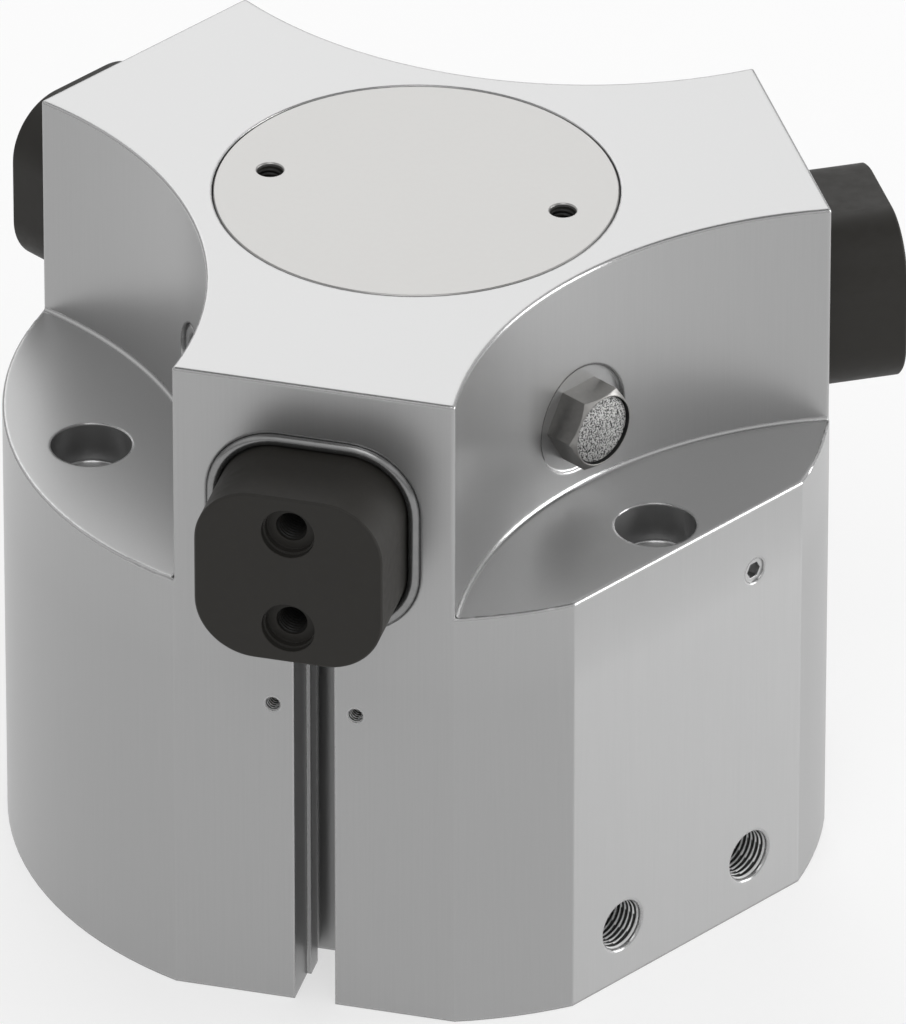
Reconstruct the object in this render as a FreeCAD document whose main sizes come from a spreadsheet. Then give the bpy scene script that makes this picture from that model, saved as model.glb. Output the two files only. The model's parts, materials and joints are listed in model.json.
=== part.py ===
import FreeCAD, Part

# Sealed pneumatic three-jaw gripper, in millimetres.
# The origin is the middle of the base, and +Z points up to the top cover.
# Jaw 1 points along -Y, jaw 2 along 30 degrees and jaw 3 along 150 degrees from +X.
# The port flat faces -30 degrees, between jaws 1 and 2.
# The jaws are drawn open, with the piston at the bottom of its stroke.

import math
import os

import Sketcher
from FreeCAD import Placement, Rotation, Vector

PARTS_FOLDER = "parts"
JAW_COUNT = 3
JAW_STEP = 120
PORT_TURN = 60
LEFT_TURN = -60
BACK_TURN = 180

# Driving sizes: name, value and meaning.
# Radii and heights are measured from the middle of the base.
SIZES = [
    ("body_radius", 66.0, "outside radius of the round body"),
    ("body_height", 114.3, "height of the body"),
    ("step_height", 75.4, "height of the floor of the side cuts"),
    ("flat_apothem", 61.9, "distance of each jaw flat from the middle"),
    ("port_apothem", 60.8, "distance of the port flat from the middle"),
    ("wall_radius", 36.6, "nearest distance of the hollow side walls"),
    ("edge_round", 0.5, "rounding of the outside edges"),
    ("bolt_circle_radius", 53.4, "radius of the mounting bolt circle"),
    ("bolt_hole_radius", 4.5, "radius of the mounting through holes"),
    ("counterbore_radius", 6.5, "radius of their counterbores"),
    ("counterbore_depth", 7.2, "depth of their counterbores"),
    ("counterbore_round", 0.5, "rounding at the counterbore floor"),
    ("bore_radius", 40.0, "radius of the cylinder bore"),
    ("chamber_radius", 30.0, "radius of the jaw chamber"),
    ("cover_seat_radius", 32.4, "radius of the seat of the top cover"),
    ("cover_flange", 4.0, "thickness of the cover flange"),
    ("cover_spigot", 3.3, "length of the cover spigot"),
    ("cover_gap", 0.2, "gap around the cover"),
    ("fit_gap", 0.05, "radial gap of turned pieces that do not move"),
    ("cover_hole_circle", 24.0, "distance of the cover holes from the middle"),
    ("cover_hole_radius", 2.1, "radius of the threaded cover holes"),
    ("cover_hole_depth", 6.0, "depth of the threaded cover holes"),
    ("cover_groove_width", 1.9, "width of the cover seal groove"),
    ("cover_groove_depth", 1.5, "depth of the cover seal groove"),
    ("jaw_width", 30.4, "width of a jaw"),
    ("jaw_height", 30.0, "height of a jaw"),
    ("jaw_corner", 9.6, "corner radius of a jaw"),
    ("jaw_roof", 11.5, "wall between the jaws and the top of the body"),
    ("jaw_shelf", 0.8, "height of the jaws above the shoulder of the bore"),
    ("jaw_nose", 15.0, "length that an open jaw stands out of its flat"),
    ("jaw_edge", 0.3, "bevel of the jaw's front edge"),
    ("jaw_stroke", 10.0, "travel of each jaw"),
    ("wedge_slope", 0.5, "jaw travel over piston travel"),
    ("slide_clearance", 0.1, "running clearance of sliding pieces"),
    ("finger_pitch", 17.25, "distance between the two holes of a jaw"),
    ("finger_hole_radius", 2.5, "radius of the threaded jaw holes"),
    ("finger_hole_depth", 18.0, "depth of the threaded jaw holes"),
    ("centring_radius", 4.3, "radius of the centring recesses"),
    ("centring_depth", 1.1, "depth of the centring recesses"),
    ("centring_step", 0.3, "step in the centring recesses"),
    ("centring_floor", 2.3, "depth of the recess floor"),
    ("jaw_seal_width", 2.15, "width of the seal frame around a jaw"),
    ("jaw_seal_depth", 3.0, "depth of the seal frame in the jaw flat"),
    ("jaw_seal_bead", 1.3, "height of the seal bead above the flat"),
    ("slot_mouth_width", 6.64, "width of the sensor slot at the flat"),
    ("slot_mouth_depth", 7.45, "depth of the sensor slot's outer part"),
    ("slot_neck_width", 5.3, "width of the sensor slot's neck"),
    ("slot_neck_depth", 3.85, "depth of the neck"),
    ("slot_back_width", 7.6, "width of the sensor slot's back"),
    ("slot_depth", 15.0, "whole depth of the sensor slot"),
    ("slot_end_wall", 4.65, "wall between the sensor slots and the seal frames"),
    ("bracket_hole_offset", 6.75, "side distance of the bracket holes"),
    ("bracket_hole_drop", 11.2, "distance of the bracket holes below the end of the slot"),
    ("bracket_hole_radius", 1.25, "radius of the bracket holes"),
    ("bracket_hole_depth", 7.0, "depth of the bracket holes"),
    ("port_offset", 14.4, "side distance of the air ports"),
    ("port_rise", 1.45, "height of the air ports above the rim of the end cap"),
    ("port_radius", 4.28, "radius of the air ports"),
    ("port_depth", 12.0, "depth of the air ports"),
    ("port_bevel", 0.25, "bevel at the mouth of the air ports"),
    ("channel_radius", 1.5, "radius of the air channels"),
    ("channel_inset", 7.6, "depth of the rising channel behind the port flat"),
    ("channel_offset", 15.0, "side distance of the rising channel"),
    ("channel_drop", 2.5, "distance of the upper air channel below the cylinder head"),
    ("plug_radius", 2.15, "radius of the channel plugs"),
    ("plug_length", 5.0, "length of the channel plugs"),
    ("plug_inset", 0.3, "depth of the channel plugs in their holes"),
    ("plug_socket", 2.5, "width across flats of their sockets"),
    ("plug_socket_depth", 2.5, "depth of their sockets"),
    ("ring_start", 1.0, "height of the retaining ring groove"),
    ("ring_groove_width", 2.65, "width of the retaining ring groove"),
    ("ring_groove_depth", 1.75, "depth of the retaining ring groove"),
    ("ring_clearance", 0.1, "clearance of the retaining ring in its groove"),
    ("ring_gap", 12.0, "opening of the retaining ring"),
    ("ring_inner_radius", 35.5, "inner radius of the retaining ring"),
    ("ring_eye_radius", 1.25, "radius of the retaining ring's eyes"),
    ("cap_rim", 4.9, "thickness of the end cap's rim"),
    ("cap_spigot_radius", 34.0, "radius of the end cap's raised middle"),
    ("cap_spigot", 3.1, "height of the end cap's raised middle"),
    ("cap_centre_radius", 2.5, "radius of the end cap's pulling hole"),
    ("cap_centre_depth", 5.5, "depth of the end cap's pulling hole"),
    ("ring_seal_width", 2.5, "width of the round seal grooves"),
    ("ring_seal_depth", 2.0, "depth of the round seal grooves"),
    ("head_rim", 6.0, "thickness of the cylinder head's rim"),
    ("head_hub_radius", 20.5, "radius of the cylinder head's hub"),
    ("head_hub", 8.0, "length of the hub below the rim"),
    ("head_screw_radius", 1.5, "radius of the head screws"),
    ("head_screw_length", 12.0, "length of the head screws under the head"),
    ("head_screw_head", 2.75, "radius of the head screws' heads"),
    ("head_screw_recess", 3.2, "depth of the head screws' heads"),
    ("head_screw_socket", 2.5, "width across flats of their sockets"),
    ("rod_radius", 10.0, "radius of the piston rod"),
    ("bush_wall", 1.5, "wall of the rod bush"),
    ("bush_length", 7.0, "length of the rod bush"),
    ("rod_seal_wall", 3.0, "width of the rod seal"),
    ("rod_seal_length", 4.0, "length of the rod seal"),
    ("rod_lip", 1.5, "lip above the rod bush"),
    ("rod_play", 0.5, "gap around the rod at that lip"),
    ("hub_play", 1.5, "gap around the hub in the piston's recess"),
    ("stroke_gap", 0.5, "gap at each end of the stroke"),
    ("piston_clearance", 0.3, "radial gap between the bare piston and its bore"),
    ("piston_step", 2.5, "width of the step around the piston's top"),
    ("piston_step_height", 3.0, "height of that step"),
    ("piston_foot_recess", 9.0, "depth of the recess in the piston's foot"),
    ("piston_boss", 14.0, "radius of the boss in the foot recess"),
    ("piston_skirt", 31.0, "inner radius of the piston's skirt"),
    ("magnet_wall", 4.9, "wall of the magnet ring"),
    ("magnet_height", 4.5, "height of the magnet ring"),
    ("magnet_inset", 0.6, "gap between the magnet ring and the bore"),
    ("retainer_height", 2.0, "height of the magnet retainer"),
    ("guide_ring_start", 7.5, "height of the guide ring above the piston's foot"),
    ("guide_ring_width", 5.0, "width of the guide ring"),
    ("guide_ring_wall", 2.0, "wall of the guide ring"),
    ("piston_seal_start", 14.0, "height of the piston seal above the foot"),
    ("piston_seal_width", 3.6, "width of the piston seal"),
    ("piston_seal_wall", 4.0, "wall of the piston seal"),
    ("driver_apothem", 20.2, "distance of the driver's slopes at its foot"),
    ("driver_inset", 0.6, "gap between the driver and the chamber"),
    ("neck_width", 9.0, "width of the necks of the T-heads"),
    ("neck_length", 3.6, "radial length of the necks"),
    ("head_width", 17.0, "width of the T-heads"),
    ("head_length", 3.8, "radial length of the T-heads"),
    ("wedge_clearance", 0.15, "clearance around the T-heads"),
    ("spigot_radius", 7.0, "radius of the rod's spigot in the driver"),
    ("spigot_length", 3.0, "length of the rod's spigot in the driver"),
    ("driver_screw_radius", 4.0, "radius of the driver screw"),
    ("driver_screw_head", 6.5, "radius of the driver screw's head"),
    ("driver_screw_recess", 8.0, "depth of the driver screw's head"),
    ("driver_screw_length", 22.0, "length of the driver screw under its head"),
    ("driver_screw_socket", 6.0, "width across flats of its socket"),
    ("spotface_radius", 9.25, "radius of the breather's spotface"),
    ("spotface_apothem", 36.2, "distance of the spotface from the middle"),
    ("side_hole_radius", 4.28, "radius of the threaded holes in the walls"),
    ("breather_flats", 12.2, "width across flats of the breather"),
    ("breather_height", 5.6, "height of the breather's hexagon"),
    ("breather_shank", 5.4, "length of the breather's thread"),
    ("breather_bore", 2.5, "radius of the breather's air hole"),
    ("filter_radius", 5.68, "radius of the sintered disc"),
    ("filter_gap", 0.1, "gap around the sintered disc"),
    ("filter_depth", 2.5, "thickness of the sintered disc"),
    ("side_recess_radius", 6.6, "radius of the side plugs' recesses"),
    ("side_recess_apothem", 34.9, "distance of the recess floors"),
    ("side_plug_length", 4.4, "length of the side plugs"),
    ("side_plug_socket", 5.0, "width across flats of their sockets"),
    ("side_plug_socket_depth", 3.0, "depth of their sockets"),
]


class Size:
    """A size that carries its number and the spreadsheet formula behind it."""

    def __init__(self, number, formula):
        self.number = float(number)
        self.formula = formula

    def __add__(self, other):
        other = as_size(other)
        return Size(self.number + other.number, f"({self.formula} + {other.formula})")

    def __sub__(self, other):
        other = as_size(other)
        return Size(self.number - other.number, f"({self.formula} - {other.formula})")

    def __mul__(self, other):
        other = as_size(other)
        return Size(self.number * other.number, f"({self.formula} * {other.formula})")

    def __truediv__(self, other):
        other = as_size(other)
        return Size(self.number / other.number, f"({self.formula} / {other.formula})")

    def __neg__(self):
        return Size(-self.number, f"(0 - {self.formula})")


def as_size(value):
    """Takes a size as it is, and a plain number as a size with itself as formula."""
    if isinstance(value, Size):
        return value
    return Size(value, f"{float(value):.6f}")


def root(size):
    """Square root of a size."""
    return Size(math.sqrt(size.number), f"sqrt({size.formula})")


def times_cosine(size, degrees):
    return size * as_size(math.cos(math.radians(degrees)))


def times_sine(size, degrees):
    return size * as_size(math.sin(math.radians(degrees)))


def bind(thing, name, size):
    """Sets a property and ties it to the spreadsheet."""
    size = as_size(size)
    setattr(thing, name, size.number)
    thing.setExpression(name, size.formula)


class SizeSheet:
    """The driving sizes, written to the spreadsheet and read back by name."""

    def __init__(self, document):
        sheet = document.addObject("Spreadsheet::Sheet", "Sizes")
        for row, (name, value, meaning) in enumerate(SIZES, start=1):
            sheet.set(f"A{row}", meaning)
            sheet.set(f"B{row}", str(value))
            sheet.setAlias(f"B{row}", name)
        document.recompute()
        for name, value, meaning in SIZES:
            setattr(self, name, Size(getattr(sheet, name), f"Sizes.{name}"))


class Drawing:
    """A sketch on an origin plane of its body, with every size tied to the sheet."""

    def __init__(self, body, name, plane, lift=0, turn=0):
        self.sketch = body.newObject("Sketcher::SketchObject", name)
        self.sketch.AttachmentSupport = [(origin_feature(body, plane), "")]
        self.sketch.MapMode = "FlatFace"
        self.place(plane, as_size(lift), turn)

    def place(self, plane, lift, turn):
        """Turns the sketch about the vertical axis and lifts it off its plane."""
        upright = Vector(0, 0, 1)
        forward = lift
        sideways = as_size(0)
        if plane != "XY_Plane":
            upright = Vector(0, 1, 0)
            forward = times_cosine(lift, turn)
            sideways = times_sine(lift, turn)
        base = Vector(sideways.number, 0, forward.number)
        self.sketch.AttachmentOffset = Placement(base, Rotation(upright, turn))
        self.sketch.setExpression("AttachmentOffset.Base.x", sideways.formula)
        self.sketch.setExpression("AttachmentOffset.Base.z", forward.formula)

    def hold(self, kind, edge, point, size):
        """Holds a point at its distance from the origin, or on an axis where that is nought."""
        if abs(size.number) < 1e-9:
            axis = -2 if kind == "DistanceX" else -1
            self.sketch.addConstraint(Sketcher.Constraint("PointOnObject", edge, point, axis))
            return
        index = self.sketch.addConstraint(
            Sketcher.Constraint(kind, -1, 1, edge, point, size.number))
        self.sketch.setExpression(f"Constraints[{index}]", size.formula)

    def outline(self, points):
        """Draws a closed outline of straight lines through the points."""
        points = [(as_size(x), as_size(y)) for x, y in points]
        first = self.sketch.GeometryCount
        count = len(points)
        for index, (x, y) in enumerate(points):
            next_x, next_y = points[(index + 1) % count]
            start = Vector(x.number, y.number, 0)
            end = Vector(next_x.number, next_y.number, 0)
            self.sketch.addGeometry(Part.LineSegment(start, end), False)
        for index in range(count):
            follower = first + (index + 1) % count
            self.sketch.addConstraint(Sketcher.Constraint("Coincident", first + index, 2, follower, 1))
        for index, (x, y) in enumerate(points):
            self.hold("DistanceX", first + index, 1, x)
            self.hold("DistanceY", first + index, 1, y)
        return self

    def rectangle(self, left, bottom, right, top):
        return self.outline([(left, bottom), (right, bottom), (right, top), (left, top)])

    def circle(self, x, y, radius):
        x, y, radius = as_size(x), as_size(y), as_size(radius)
        centre = Vector(x.number, y.number, 0)
        edge = self.sketch.addGeometry(Part.Circle(centre, Vector(0, 0, 1), radius.number), False)
        self.hold("DistanceX", edge, 3, x)
        self.hold("DistanceY", edge, 3, y)
        index = self.sketch.addConstraint(Sketcher.Constraint("Radius", edge, radius.number))
        self.sketch.setExpression(f"Constraints[{index}]", radius.formula)
        return self

    def hexagon(self, x, y, flats, corner_angle=0):
        """Draws a regular hexagon with the given width across its flats."""
        reach = as_size(flats) / math.sqrt(3)
        corners = []
        for index in range(6):
            angle = corner_angle + 60 * index
            corners.append((as_size(x) + times_cosine(reach, angle), as_size(y) + times_sine(reach, angle)))
        return self.outline(corners)

    def rounded_rectangle(self, middle_y, width, height, corner):
        """Draws a rectangle with round corners, centred on the vertical axis."""
        sketch = self.sketch
        inner_x = width / 2 - corner
        inner_y = height / 2 - corner
        arcs = []
        for side_x, side_y, start in [(1, 1, 0), (-1, 1, 90), (-1, -1, 180), (1, -1, 270)]:
            x = inner_x * side_x
            y = middle_y + inner_y * side_y
            circle = Part.Circle(Vector(x.number, y.number, 0), Vector(0, 0, 1), corner.number)
            arc = Part.ArcOfCircle(circle, math.radians(start), math.radians(start + 90))
            edge = sketch.addGeometry(arc, False)
            self.hold("DistanceX", edge, 3, x)
            self.hold("DistanceY", edge, 3, y)
            index = sketch.addConstraint(Sketcher.Constraint("Radius", edge, corner.number))
            sketch.setExpression(f"Constraints[{index}]", corner.formula)
            arcs.append(edge)
        for place, edge in enumerate(arcs):
            follower = arcs[(place + 1) % len(arcs)]
            start = sketch.getPoint(edge, 2)
            end = sketch.getPoint(follower, 1)
            line = sketch.addGeometry(Part.LineSegment(start, end), False)
            sketch.addConstraint(Sketcher.Constraint("Tangent", edge, 2, line, 1))
            sketch.addConstraint(Sketcher.Constraint("Tangent", line, 2, follower, 1))
        return self


def origin_feature(body, role):
    """Finds an origin plane or axis of a body by its role."""
    for feature in body.Origin.OriginFeatures:
        if feature.Role == role:
            return feature
    raise ValueError(f"{body.Label} has no {role}")


class Piece:
    """One piece of the gripper, built feature by feature as a body."""

    def __init__(self, document, name):
        self.document = document
        self.body = document.addObject("PartDesign::Body", name)
        self.body.Label = name
        self.steps = 0

    def draw(self, plane, lift=0, turn=0):
        self.steps += 1
        return Drawing(self.body, f"{self.body.Name}_sketch_{self.steps}", plane, lift, turn)

    def add_feature(self, kind, drawing):
        """Adds a feature that works from a sketch."""
        feature = self.body.newObject(f"PartDesign::{kind}", f"{self.body.Name}_{kind}_{self.steps}")
        feature.Profile = drawing.sketch
        return feature

    def pad(self, drawing, length, reverse=False, middle=False):
        feature = self.add_feature("Pad", drawing)
        bind(feature, "Length", length)
        feature.Reversed = reverse
        feature.Midplane = middle
        self.document.recompute()
        return feature

    def pocket(self, drawing, length=None, reverse=False, middle=False):
        """Cuts a pocket of the given depth, or right through where none is given."""
        before = self.body.Shape.Volume
        feature = self.add_feature("Pocket", drawing)
        if length is None:
            feature.Type = "ThroughAll"
        else:
            bind(feature, "Length", length)
        feature.Reversed = reverse
        feature.Midplane = middle
        self.document.recompute()
        self.check_cut(feature, before)
        return feature

    def revolve(self, drawing):
        feature = self.add_feature("Revolution", drawing)
        feature.ReferenceAxis = (drawing.sketch, ["V_Axis"])
        feature.Angle = 360
        self.document.recompute()
        return feature

    def groove(self, drawing):
        before = self.body.Shape.Volume
        feature = self.add_feature("Groove", drawing)
        feature.ReferenceAxis = (drawing.sketch, ["V_Axis"])
        feature.Angle = 360
        self.document.recompute()
        self.check_cut(feature, before)
        return feature

    def check_cut(self, feature, before):
        """A cut that points away from the solid removes nothing."""
        if not feature.Shape.Volume < before - 1e-6:
            raise ValueError(f"{feature.Name} cuts nothing")

    def repeat(self, features, count=JAW_COUNT):
        """Repeats features around the vertical axis."""
        self.steps += 1
        pattern = self.body.newObject("PartDesign::PolarPattern", f"{self.body.Name}_pattern_{self.steps}")
        pattern.Originals = features
        pattern.Axis = (origin_feature(self.body, "Z_Axis"), [""])
        pattern.Angle = 360
        pattern.Occurrences = count
        self.body.Tip = pattern
        self.document.recompute()
        return pattern

    def dress(self, kind, size_name, size, test):
        """Rounds or bevels the edges that pass the test."""
        tip = self.body.Tip
        names = []
        for index, edge in enumerate(tip.Shape.Edges, start=1):
            if test(edge):
                names.append(f"Edge{index}")
        if not names:
            raise ValueError(f"{self.body.Label} has no edge to dress")
        self.steps += 1
        feature = self.body.newObject(f"PartDesign::{kind}", f"{self.body.Name}_{kind}_{self.steps}")
        feature.Base = (tip, names)
        bind(feature, size_name, size)
        self.document.recompute()
        return feature

    def fillet(self, radius, test):
        return self.dress("Fillet", "Radius", radius, test)

    def chamfer(self, size, test):
        return self.dress("Chamfer", "Size", size, test)


class Layout:
    """Places and sizes that follow from the driving sizes."""

    def __init__(self, s):
        sixty = 60
        half_flat = root(s.body_radius * s.body_radius - s.flat_apothem * s.flat_apothem)
        along = times_sine(half_flat, sixty) + times_cosine(s.flat_apothem, sixty)
        across = times_sine(s.flat_apothem, sixty) - times_cosine(half_flat, sixty)
        rise = along - s.wall_radius
        self.wall_arc = (rise * rise + across * across) / (rise * 2)
        self.jaw_reach = s.flat_apothem + s.jaw_nose
        self.jaw_top = s.body_height - s.jaw_roof
        self.jaw_centre = self.jaw_top - s.jaw_height / 2
        self.jaw_foot = self.jaw_top - s.jaw_height
        self.bore_top = self.jaw_foot - s.jaw_shelf
        self.slot_top = self.jaw_foot - s.jaw_seal_width - s.slot_end_wall
        self.bracket_hole_height = self.slot_top - s.bracket_hole_drop
        self.cover_seat = s.body_height - s.cover_flange
        self.cover_foot = self.cover_seat - s.cover_spigot
        self.stroke = s.jaw_stroke / s.wedge_slope
        self.driver_foot = self.bore_top + s.stroke_gap
        self.driver_top = self.cover_foot - s.stroke_gap - self.stroke
        self.driver_height = self.driver_top - self.driver_foot
        self.cap_foot = s.ring_start + s.ring_groove_width
        self.cap_step = self.cap_foot + s.cap_rim
        self.cap_top = self.cap_step + s.cap_spigot
        self.port_height = self.cap_step + s.port_rise
        self.head_foot = self.bore_top - s.head_rim
        self.channel_height = self.head_foot - s.channel_drop
        self.hub_foot = self.head_foot - s.head_hub
        self.piston_foot = self.cap_top + s.stroke_gap
        self.piston_top = self.head_foot - s.stroke_gap - self.stroke
        self.head_screw_circle = (s.chamber_radius + s.wall_radius) / 2
        self.magnet_outer = s.bore_radius - s.magnet_inset
        self.magnet_seat = self.magnet_outer - s.magnet_wall


def at_height(edge, height):
    box = edge.BoundBox
    return abs(box.ZMin - height.number) < 0.001 and abs(box.ZMax - height.number) < 0.001


def stands_on(edge, height):
    """True for an upright edge that starts near the given height."""
    box = edge.BoundBox
    upright = box.XLength < 0.001 and box.YLength < 0.001
    return upright and abs(box.ZMin - height.number) < 0.001


def is_circle(edge, radius):
    if edge.Degenerated:
        return False
    curve = edge.Curve
    return isinstance(curve, Part.Circle) and abs(curve.Radius - radius.number) < 0.001


def lies_at(edge, apothem, turn):
    """True where an edge lies in the upright plane that faces the turned direction."""
    angle = math.radians(turn - 90)
    outward = Vector(math.cos(angle), math.sin(angle), 0)
    return all(abs(vertex.Point.dot(outward) - apothem.number) < 0.001 for vertex in edge.Vertexes)


def make_housing(document, s, at):
    """The block: outside form first, then the bores, the jaw guides, the slots and the air ways."""
    piece = Piece(document, "housing")
    outside = s.body_radius + 5

    round_block = piece.draw("XY_Plane").circle(0, 0, s.body_radius)
    piece.pad(round_block, s.body_height)
    jaw_flat = piece.draw("XY_Plane").rectangle(-outside, -outside, outside, -s.flat_apothem)
    piece.repeat([piece.pocket(jaw_flat, reverse=True)])
    port_flat = piece.draw("XY_Plane", turn=PORT_TURN)
    port_flat.rectangle(-outside, -outside, outside, -s.port_apothem)
    piece.pocket(port_flat, reverse=True)
    side_cut = piece.draw("XY_Plane", s.body_height, PORT_TURN)
    side_cut.circle(0, -(s.wall_radius + at.wall_arc), at.wall_arc)
    piece.repeat([piece.pocket(side_cut, s.body_height - s.step_height)])
    piece.fillet(s.edge_round, lambda edge: at_height(edge, s.body_height) or stands_on(edge, s.step_height))
    piece.fillet(s.edge_round, lambda edge: is_floor_rim(edge, s))

    cut_round_bores(piece, s, at)
    cut_jaw_guides(piece, s, at)
    cut_mounting_holes(piece, s)
    cut_sensor_slots(piece, s, at)
    cut_bracket_holes(piece, s, at)
    cut_air_ways(piece, s, at)
    cut_wall_holes(piece, s, at)
    return piece.body


def is_floor_rim(edge, s):
    """The outside edges of the side cuts' floors, on the round body and on the port flat."""
    if not at_height(edge, s.step_height):
        return False
    if is_circle(edge, s.body_radius):
        return True
    return lies_at(edge, s.port_apothem, PORT_TURN)


def cut_round_bores(piece, s, at):
    """The cylinder bore with its ring groove, the jaw chamber and the cover's seat."""
    groove_radius = s.bore_radius + s.ring_groove_depth
    section = piece.draw("XZ_Plane").outline([
        (0, 0),
        (s.bore_radius, 0),
        (s.bore_radius, s.ring_start),
        (groove_radius, s.ring_start),
        (groove_radius, at.cap_foot),
        (s.bore_radius, at.cap_foot),
        (s.bore_radius, at.bore_top),
        (s.chamber_radius, at.bore_top),
        (s.chamber_radius, at.cover_seat),
        (s.cover_seat_radius, at.cover_seat),
        (s.cover_seat_radius, s.body_height),
        (0, s.body_height),
    ])
    piece.groove(section)
    head_screw_hole = piece.draw("XY_Plane", at.bore_top, PORT_TURN)
    head_screw_hole.circle(0, -at.head_screw_circle, s.head_screw_radius)
    piece.repeat([piece.pocket(head_screw_hole, s.head_screw_length, reverse=True)])


def cut_jaw_guides(piece, s, at):
    """A guide, a seal recess and a way for the driver's T-heads, at each jaw."""
    play = s.slide_clearance * 2
    guide = piece.draw("XZ_Plane")
    guide.rounded_rectangle(at.jaw_centre, s.jaw_width + play, s.jaw_height + play,
                            s.jaw_corner + s.slide_clearance)
    guide_cut = piece.pocket(guide, reverse=True)
    recess = piece.draw("XZ_Plane", s.flat_apothem)
    margin = s.jaw_seal_width * 2
    recess.rounded_rectangle(at.jaw_centre, s.jaw_width + margin, s.jaw_height + margin,
                             s.jaw_corner + s.jaw_seal_width)
    recess_cut = piece.pocket(recess, s.jaw_seal_depth)
    half = s.head_width / 2 + s.driver_inset
    reach = (s.driver_apothem + s.neck_length + s.head_length + at.driver_height * s.wedge_slope
             + s.driver_inset)
    head_way = piece.draw("XY_Plane", at.bore_top).rectangle(-half, -reach, half, 0)
    head_way_cut = piece.pocket(head_way, at.cover_foot - at.bore_top, reverse=True)
    piece.repeat([guide_cut, recess_cut, head_way_cut])


def cut_mounting_holes(piece, s):
    """Counterbored through holes in the floors of the side cuts."""
    counterbore = piece.draw("XY_Plane", s.step_height, PORT_TURN)
    counterbore.circle(0, -s.bolt_circle_radius, s.counterbore_radius)
    counterbore_cut = piece.pocket(counterbore, s.counterbore_depth)
    hole = piece.draw("XY_Plane", s.step_height, PORT_TURN)
    hole.circle(0, -s.bolt_circle_radius, s.bolt_hole_radius)
    hole_cut = piece.pocket(hole)
    piece.repeat([counterbore_cut, hole_cut])
    floor = s.step_height - s.counterbore_depth
    piece.fillet(s.counterbore_round,
                 lambda edge: is_circle(edge, s.counterbore_radius) and at_height(edge, floor))


def cut_sensor_slots(piece, s, at):
    """A stepped slot in each jaw flat, open at the base."""
    mouth, neck, back = s.slot_mouth_width / 2, s.slot_neck_width / 2, s.slot_back_width / 2
    front = s.flat_apothem + 1
    first = s.flat_apothem - s.slot_mouth_depth
    second = first - s.slot_neck_depth
    last = s.flat_apothem - s.slot_depth
    right_side = [
        (mouth, -front),
        (mouth, -first),
        (neck, -first),
        (neck, -second),
        (back, -second),
        (back, -last),
    ]
    left_side = [(-x, y) for x, y in reversed(right_side)]
    slot = piece.draw("XY_Plane").outline(right_side + left_side)
    piece.repeat([piece.pocket(slot, at.slot_top, reverse=True)])


def cut_bracket_holes(piece, s, at):
    """Two small threaded holes beside each sensor slot."""
    cuts = []
    for side in (1, -1):
        hole = piece.draw("XZ_Plane", s.flat_apothem)
        hole.circle(s.bracket_hole_offset * side, at.bracket_hole_height, s.bracket_hole_radius)
        cuts.append(piece.pocket(hole, s.bracket_hole_depth))
    piece.repeat(cuts)


def cut_air_ways(piece, s, at):
    """Two ports and a plugged channel that rises to the upper end of the cylinder."""
    for side in (1, -1):
        port = piece.draw("XZ_Plane", s.port_apothem, PORT_TURN)
        port.circle(s.port_offset * side, at.port_height, s.port_radius)
        piece.pocket(port, s.port_depth)
    piece.chamfer(s.port_bevel, lambda edge: is_circle(edge, s.port_radius)
                  and lies_at(edge, s.port_apothem, PORT_TURN))

    lower_way = piece.draw("XZ_Plane", s.port_apothem, PORT_TURN)
    lower_way.circle(-s.port_offset, at.port_height, s.channel_radius)
    piece.pocket(lower_way, way_to_bore(s, s.port_offset))
    upper_way = piece.draw("XZ_Plane", s.port_apothem, PORT_TURN)
    upper_way.circle(s.channel_offset, at.channel_height, s.channel_radius)
    piece.pocket(upper_way, way_to_bore(s, s.channel_offset))
    rising_way = piece.draw("XY_Plane", turn=PORT_TURN)
    rising_way.circle(s.channel_offset, -(s.port_apothem - s.channel_inset), s.channel_radius)
    piece.pocket(rising_way, at.channel_height, reverse=True)

    seat_depth = s.plug_inset + s.plug_length
    side_seat = piece.draw("XZ_Plane", s.port_apothem, PORT_TURN)
    side_seat.circle(s.channel_offset, at.channel_height, s.plug_radius)
    piece.pocket(side_seat, seat_depth)
    base_seat = piece.draw("XY_Plane", turn=PORT_TURN)
    base_seat.circle(s.channel_offset, -(s.port_apothem - s.channel_inset), s.plug_radius)
    piece.pocket(base_seat, seat_depth, reverse=True)


def way_to_bore(s, offset):
    """Depth of a channel from the port flat into the cylinder bore."""
    bore_distance = root(s.bore_radius * s.bore_radius - offset * offset)
    return s.port_apothem - bore_distance + s.channel_radius


def cut_wall_holes(piece, s, at):
    """The breather's spotface and thread, and the recessed plug holes in the other two walls."""
    spotface = piece.draw("XZ_Plane", s.spotface_apothem, PORT_TURN)
    spotface.circle(0, at.jaw_centre, s.spotface_radius)
    piece.pocket(spotface, s.body_radius - s.spotface_apothem, reverse=True)
    for turn in (LEFT_TURN, BACK_TURN):
        recess = piece.draw("XZ_Plane", s.side_recess_apothem, turn)
        recess.circle(0, at.jaw_centre, s.side_recess_radius)
        piece.pocket(recess, s.body_radius - s.side_recess_apothem, reverse=True)
    for turn in (PORT_TURN, LEFT_TURN, BACK_TURN):
        hole = piece.draw("XZ_Plane", s.spotface_apothem, turn)
        hole.circle(0, at.jaw_centre, s.side_hole_radius)
        piece.pocket(hole, s.spotface_apothem - s.chamber_radius + 2)


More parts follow.
